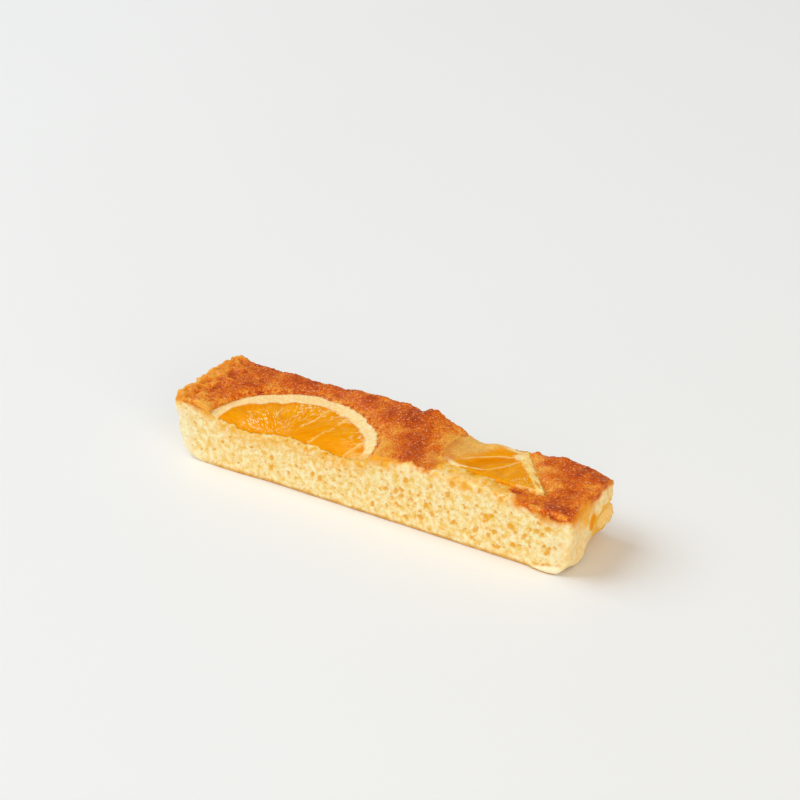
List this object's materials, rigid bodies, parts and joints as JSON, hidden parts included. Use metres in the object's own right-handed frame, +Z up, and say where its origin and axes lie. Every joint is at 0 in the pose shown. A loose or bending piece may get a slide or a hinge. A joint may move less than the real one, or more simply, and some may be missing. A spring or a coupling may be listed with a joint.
{
  "type": "orange sponge cake bar",
  "caption": "Long bar of orange sponge cake cut from a tray bake, with a browned craggy top, orange slices baked into it and open pale crumb on the cut faces.",
  "frame": {"origin": "centre of the bar's bounding box, on the surface that it rests on", "axes": "+X along the bar towards the end with the fruit piece in it, +Y from the cut front face to the cut back face, +Z up"},
  "size_m": [0.1282, 0.0298, 0.0212],
  "materials": {
    "baked_sponge": "soft open crumb on the cut faces, browned sugary crust on top",
    "orange_fruit": "moist, glossy, translucent baked fruit"
  },
  "bodies": {
    "root": {"sponge": "baked_sponge", "orange_slice_left": "orange_fruit", "orange_slice_right": "orange_fruit", "orange_piece_end": "orange_fruit"}
  },
  "joints": []
}
